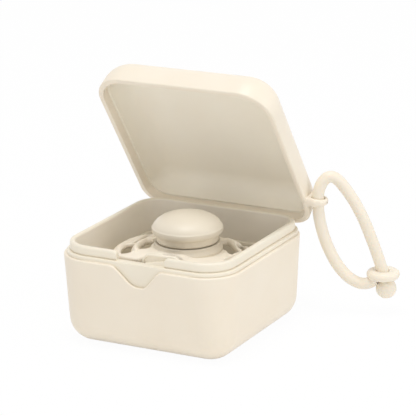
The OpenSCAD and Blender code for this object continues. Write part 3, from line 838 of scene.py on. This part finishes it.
def lid_lug(mat):
    """The strap's ring on the lid's side wall, flat when the lid stands open."""
    flare, edge_r, blend = 1.3, 1.0, 0.8

    def field(x, y):
        disc = np.hypot(x, y) - LUG_R
        t = np.clip(-x / 3.6, 0, 1.3)
        wide = LUG_R - 0.05 + np.where(y > 0, flare, 0) * t * t
        tongue = np.maximum(np.abs(y) - wide, np.maximum(x, LUG_ROOT - x))
        either = -blended_max(-disc, -tongue, blend)
        return np.maximum(either, LUG_HOLE - np.hypot(x, y))

    def up(x, y, d):
        grow = np.clip((-x - 2.2) / 1.6, 0, 1)
        taper = 0.13 * np.clip(x + 1, 0, 5)
        return LUG_HALF - edge_r + bullnose(d, edge_r) + 0.5 * grow * grow - taper

    def down(x, y, d):
        return -up(x, y, d)

    shape = plate(field, up, down, (-4.6, -6), (4.2, 6), 0.16)
    solid("lid_lug", shape, mat, "lid", "lid_shell", 70, move=lambda v: v + LUG)


# ---------------------------------------------------------------- pacifier
def over_cup(v):
    """From the cup's own middle to its place in the case."""
    return v + Vector((CUP_X, CUP_Y, 0))


def bent(x):
    """Height of the shield's bowed face."""
    return SHIELD_Z - BEND + np.sqrt(BEND * BEND - x * x)


def arc_path(r, a0, a1, side, steps=14):
    """An arc about the shield's middle, on its left (-1) or right (1) side."""
    turn = [math.radians(a0 + (a1 - a0) * k / steps) for k in range(steps + 1)]
    return [(side * r * cos(a), r * sin(a)) for a in turn]


def shield_holes():
    """The slots through the shield, as (path, half width)."""
    left, right = -1, 1
    arcs = [(15.5, 1.9, -27, 2, left), (14.9, 1.6, 15, 28, left), (21.0, 1.6, 3, 20, left)]
    arcs += [(22.3, 1.7, -36, -8, side) for side in (left, right)]
    holes = [(arc_path(r, a0, a1, side), half) for r, half, a0, a1, side in arcs]
    holes.append(([(17.2, 2.2), (15.4, 4.4), (13.2, 6.5), (10.8, 8.4)], 1.7))
    holes.append(([(18.8, 7.0), (16.6, 9.4)], 1.1))
    return holes


def shield_ribs():
    """The raised lines on the shield, as (path, half width, height)."""
    left_rib = arc_path(18.8, -38, 16, -1)
    left_rib += [(-17.4, 6.6), (-16.2, 8.0), (-14.4, 9.0), (-12.0, 9.2), (-9.6, 8.0)]
    right_rib = [(18.5, -6.5), (19.3, -4.0), (19.6, 0.6), (18.8, 4.2)]
    right_rib += [(16.4, 7.6), (13.4, 10.4), (10.0, 11.4)]
    spoke = [(-11.8, 1.2), (-17.6, 3.0)]
    return [(left_rib, 1.1, 1.0), (right_rib, 1.1, 1.0), (spoke, 0.9, 0.7)]


def shield_skin(mat):
    """The bowed shield: a rounded oblong, scooped for the nose, with slots and raised lines."""
    half, near, far, power = 27.5, 22.4, 12.9, 2.4
    nose_r, nose_y, nose_blend = 8.4, 12.9, 3.0
    border, border_h = 1.5, 0.8
    moat_out, moat_wide = 15.6, 3
    holes, ribs = shield_holes(), shield_ribs()

    def rounded_power(value):
        return math.copysign(abs(value) ** (2 / power), value)

    rim = []
    for a in np.linspace(0, WHOLE, 181):
        depth = far if sin(a) > 0 else near
        rim.append((half * rounded_power(cos(a)), depth * rounded_power(sin(a))))

    def outline(x, y):
        level = (np.abs(x) / half) ** power + (np.abs(y) / np.where(y > 0, far, near)) ** power
        d = away(x, y, rim) * np.where(level < 1, -1, 1)
        return blended_max(d, nose_r - np.hypot(x, y + nose_y + nose_r), nose_blend)

    def field(x, y):
        d = outline(x, y)
        for path, wide in holes:
            d = np.maximum(d, wide - away(x, y, path))
        return d

    def top(x, y, d):
        # the raised border fades out towards the nose
        lift = border_h * half_round(outline(x, y) + border, border) * np.clip((y + 13) / 8, 0, 1)
        for path, wide, height in ribs:
            lift = np.maximum(lift, height * half_round(away(x, y, path), wide))
        # a moat 1 mm deep sinks in on the collar's right
        moat = np.clip((moat_out - np.hypot(x, y)) / moat_wide, 0, 1) * np.clip((x - 4) / 5, 0, 1)
        lift = lift * smooth_step(-d / 0.9) - smooth_step(moat)
        return bent(x) - SHIELD_ROUND + bullnose(d, SHIELD_ROUND) + lift

    def bottom(x, y, d):
        return bent(x) - SHIELD_T + SHIELD_ROUND - bullnose(d, SHIELD_ROUND)

    shape, sharp = plate(field, top, bottom, (-28, -23), (28, 14), 0.2), 75
    even_out(solid("shield_skin", shape, mat, "base", "pacifier_shield", sharp, over_cup), sharp)


def collar_ring(mat):
    """The shield's collar round the knob's neck."""
    low, top, bore, out, r = CUP_TOP, 33.0, 8.7, 12.0, 0.4
    ring = [(bore, low), (11.8, low), (12.1, 28.9), (12.5, 29.6), (12.7, 30.4), (12.6, 30.9)]
    ring += [(12.3, 31.3), (12.1, 31.7), (out, 32.1), (out, 32.7)]
    ring += [(out - r + r * cos(a), 32.7 + r * sin(a)) for a in np.linspace(0.4, QUARTER, 5)]
    ring += [(11.4, top), (bore, top)]
    solid("collar_ring", lathe(ring, 120), mat, "base", "pacifier_shield", move=over_cup)


def knob_skin(mat):
    """The knob: a low dome with a rolled rim, on a waisted neck."""
    dome = [(DOME_R * sin(a), DOME_Z + DOME_H * cos(a)) for a in np.linspace(0, 1.42, 26)]
    roll = np.linspace(0.4, -1.56, 16)
    rim = [(11.4 + 1.5 * cos(a) ** 0.6, DOME_Z + 1.8 * sin(a)) for a in roll]
    neck = [(11.3, 35.95), (11.25, 35.6), (11.3, 34.2), (11.25, 33.7), (11.1, 33.4), (10.8, 33.2)]
    plug = [(8.6, 33.1), (8.6, 30.2), (7.0, 30.2), (7.0, 37), (0, 40)]
    shape = lathe(dome + rim + neck + plug, 128, closed=False)
    merged(solid("knob_skin", shape, mat, "base", "pacifier_knob", move=over_cup))


def nipple_skin(mat):
    """The nipple under the shield: a round bulb on a stem, with its clamped flange."""
    bulb = [(BULB_R * cos(a), BULB_Z + BULB_R * sin(a)) for a in np.linspace(-QUARTER, 0.87, 26)]
    stem = [(5.1, 20.4), (5.05, 22.5), (5.2, 24.6), (5.7, 26.4), (6.2, 27.6)]
    flange = [(6.2, 29.4), (8.6, 29.4), (8.6, 30.2), (4.7, 30.2)]
    shape = lathe(bulb + stem + flange, 96, closed=False)
    merged(solid("nipple_skin", shape, mat, "base", "pacifier_nipple", move=over_cup))


# ---------------------------------------------------------------- strap
# the strap's middle line from the eye up to the lug and over the arch to the ball:
# along the strap's plane and up, from the lug
ROUTE = [
    (20.6, -30.4), (18.6, -31.6), (16.0, -31.9), (13.0, -30.8), (10.0, -28.4),
    (7.0, -24.6), (4.6, -20.2), (2.7, -15.6), (1.3, -11.0), (0.4, -6.8), (0.0, -3.4),
    (0.0, 0.0), (0.0, 2.6), (0.7, 5.4), (2.1, 7.8), (4.4, 9.1), (6.9, 8.0),
    (9.6, 4.8), (12.4, 0.6), (15.0, -4.2), (17.6, -10.2), (19.8, -16.2),
    (21.6, -21.4), (22.9, -25.6), (23.7, -28.4), (24.2, -31.4),
]  # fmt: skip
AT_LUG = ROUTE.index((0.0, 0.0))
EYE_AT, BALL_AT = (23.6, -28.4), (24.7, -33.9)


def strap_point(p):
    """A point of the strap's plane in the case's frame."""
    return LUG + Vector((p[0] * cos(STRAP_TURN), p[0] * sin(STRAP_TURN), p[1]))


def strap_branch(name, route, mat):
    """A round silicone cord along a route."""
    data = bpy.data.curves.new(name, "CURVE")
    data.dimensions = "3D"
    data.resolution_u = 6
    data.bevel_depth = STRAP_R * MM
    data.bevel_resolution = 8
    data.use_fill_caps = True
    line = data.splines.new("BEZIER")
    line.bezier_points.add(len(route) - 1)
    for knot, p in zip(line.bezier_points, route):
        knot.co = strap_point(p) * MM
        knot.handle_left_type = knot.handle_right_type = "AUTO"
    data.materials.append(mat)
    return dressed(name, data, "strap", "strap_loop")


def route_length(route):
    """Length of a route, in metres."""
    points = [strap_point(p) for p in route]
    return sum((b - a).length for a, b in zip(points, points[1:])) * MM


def strap_eye(mat):
    """The eye that the loop's end is buttoned through."""
    bevel, step = EYE_BEVEL, 0.2
    low, high, side = -EYE_HALF, EYE_HALF, EYE_HALF * 0.9
    profile = [(EYE_HOLE + bevel, low), (EYE_HOLE + step, low + step), (EYE_HOLE, low + bevel)]
    profile += [(EYE_HOLE, high - bevel), (EYE_HOLE + step, high - step), (EYE_HOLE + bevel, high)]
    turn = np.linspace(QUARTER, -QUARTER, 20)
    profile += [(EYE_R - side + side * cos(a), EYE_HALF * sin(a)) for a in turn]
    return solid("strap_eye_ring", lathe(profile, 72, strap_point(EYE_AT)), mat, "strap", "strap_eye")


def strap_ball(mat):
    """The ball at the loop's end."""
    profile = [(BALL_R * cos(a), BALL_R * sin(a)) for a in np.linspace(-QUARTER, QUARTER, 33)]
    shape = lathe(profile, 64, strap_point(BALL_AT), closed=False)
    return merged(solid("strap_ball_end", shape, mat, "strap", "strap_ball"))


def strap(mat):
    """The carrying loop: two branches from the lug, one to the eye and one to the ball."""
    lower, upper = ROUTE[AT_LUG::-1], ROUTE[AT_LUG:]
    low = strap_branch("strap_lower", lower, mat)
    high = strap_branch("strap_upper", upper, mat)
    for obj, route, end in ((low, lower, strap_eye(mat)), (high, upper, strap_ball(mat))):
        route_length(route)


# ---------------------------------------------------------------- studio
def background(tree):
    """1 for what the camera, a gloss or a clear piece sees, and 0 for the light on the object."""
    rays = add_node(tree, "LightPath")
    seen = rays.outputs["Is Camera Ray"]
    for other in ("Is Glossy Ray", "Is Transmission Ray"):
        either = add_node(tree, "Math")
        either.operation = "MAXIMUM"
        tree.links.new(seen, either.inputs[0])
        tree.links.new(rays.outputs[other], either.inputs[1])
        seen = either.outputs[0]
    return seen


def mixed(tree, share, first, second, output):
    """Mixes two shaders into an output node."""
    mix = add_node(tree, "MixShader")
    for source, socket in zip((share, first.outputs[0], second.outputs[0]), mix.inputs):
        tree.links.new(source, socket)
    tree.links.new(mix.outputs[0], add_node(tree, output).inputs[0])


def white_world():
    """A white background, with a softer and slightly warm light on the object."""
    world = bpy.data.worlds.new("studio")
    bpy.context.scene.world = world
    tree = clear_nodes(world)
    ambient = add_node(tree, "Background", {"Color": (1, 0.995, 0.985, 1), "Strength": 0.68})
    white = add_node(tree, "Background", {"Color": (1, 1, 1, 1)})
    mixed(tree, background(tree), ambient, white, "OutputWorld")


def pale_floor(half=3.0, glow_share=0.96):
    """A plain floor that shows nearly white and keeps the shadow. Its half width is in metres."""
    mesh = bpy.data.meshes.new("floor")
    corners = [(-half, -half, 0), (half, -half, 0), (half, half, 0), (-half, half, 0)]
    mesh.from_pydata(corners, [], [(0, 1, 2, 3)])
    floor = bpy.data.objects.new("floor", mesh)
    bpy.context.scene.collection.objects.link(floor)
    mat = bpy.data.materials.new("pale_floor")
    mesh.materials.append(mat)
    tree = clear_nodes(mat)
    matt = add_node(tree, "BsdfDiffuse", {"Color": (0.93, 0.93, 0.93, 1)})
    glow = add_node(tree, "Emission", {"Color": (1, 1, 1, 1)})
    share = add_node(tree, "Math")
    share.operation = "MULTIPLY"
    share.inputs[1].default_value = glow_share
    tree.links.new(background(tree), share.inputs[0])
    mixed(tree, share.outputs[0], matt, glow, "OutputMaterial")


def lamp(name, place, aim, size, power):
    """A square softbox, placed and aimed in metres."""
    data = bpy.data.lights.new(name, "AREA")
    data.shape = "SQUARE"
    data.size = size
    data.energy = power
    obj = bpy.data.objects.new(name, data)
    obj.location = place
    obj.rotation_mode = "QUATERNION"
    obj.rotation_quaternion = (Vector(aim) - Vector(place)).to_track_quat("-Z", "Y")
    bpy.context.scene.collection.objects.link(obj)


def studio():
    """A soft lamp overhead, one from the right and a weak one from the front."""
    bpy.context.scene.view_settings.view_transform = "Standard"
    white_world()
    lamp("key", (0.05, -0.15, 1.12), (0, 0, 0.03), 0.4, 4.5)
    lamp("side", (1.0, 0.1, 0.36), (0, 0, 0.03), 0.6, 2.0)
    lamp("front", (0.1, -1.0, 0.11), (0, 0, 0.06), 0.2, 0.75)
    pale_floor()


# ---------------------------------------------------------------- the making
aim_camera()
strap(warm("ivory_silicone", (239, 230, 214), 0.5, grain=0.01, soft=0.2))

case_shell(warm("ivory_plastic", (240, 230, 213), 0.42))
ivory_tub = warm("ivory_tub", (238, 230, 213), 0.45)
# painted light: the tub's inside faces get a lighter, less yellow copy of its plastic, against the
# shade and yellowed bounce light inside
tub_skin(ivory_tub, warm("ivory_tub_inside_painted_light", (240, 233, 220), 0.5))
for part in (tray_rim, tray_floor, tray_cup, tray_legs):
    part(ivory_tub)

ivory_lid = warm("ivory_lid", (241, 231, 214), 0.4)
# painted light: the lid's inside faces get a lighter, less yellow copy of its plastic, brightening its
# shaded vault
lid_skin(ivory_lid, warm("ivory_lid_inside_painted_light", (247, 241, 227), 0.5))
hinge(ivory_tub, ivory_lid)
lid_lug(ivory_lid)
pin = frame["nodes"]["hinge_pin"]
pin.data.materials.clear()
pin.data.materials.append(drawn_steel())

# painted light: the shield is a lighter copy of the ivory plastic, brightening its upturned face
shield_skin(warm("ivory_shield_painted_light", (248, 239, 223), 0.4))
# painted shade: the knob and collar are a deeper copy of the ivory plastic, for the neck under the
# dome and the dome's top under the open lid
ivory_pacifier_painted_shade = warm("ivory_pacifier_painted_shade", (231, 222, 205), 0.38, deeper=3, soft=0)
collar_ring(ivory_pacifier_painted_shade)
knob_skin(ivory_pacifier_painted_shade)
nipple_skin(warm("teat_silicone", (216, 201, 172), 0.3, deeper=6, grain=0.005, soft=0.3))
studio()
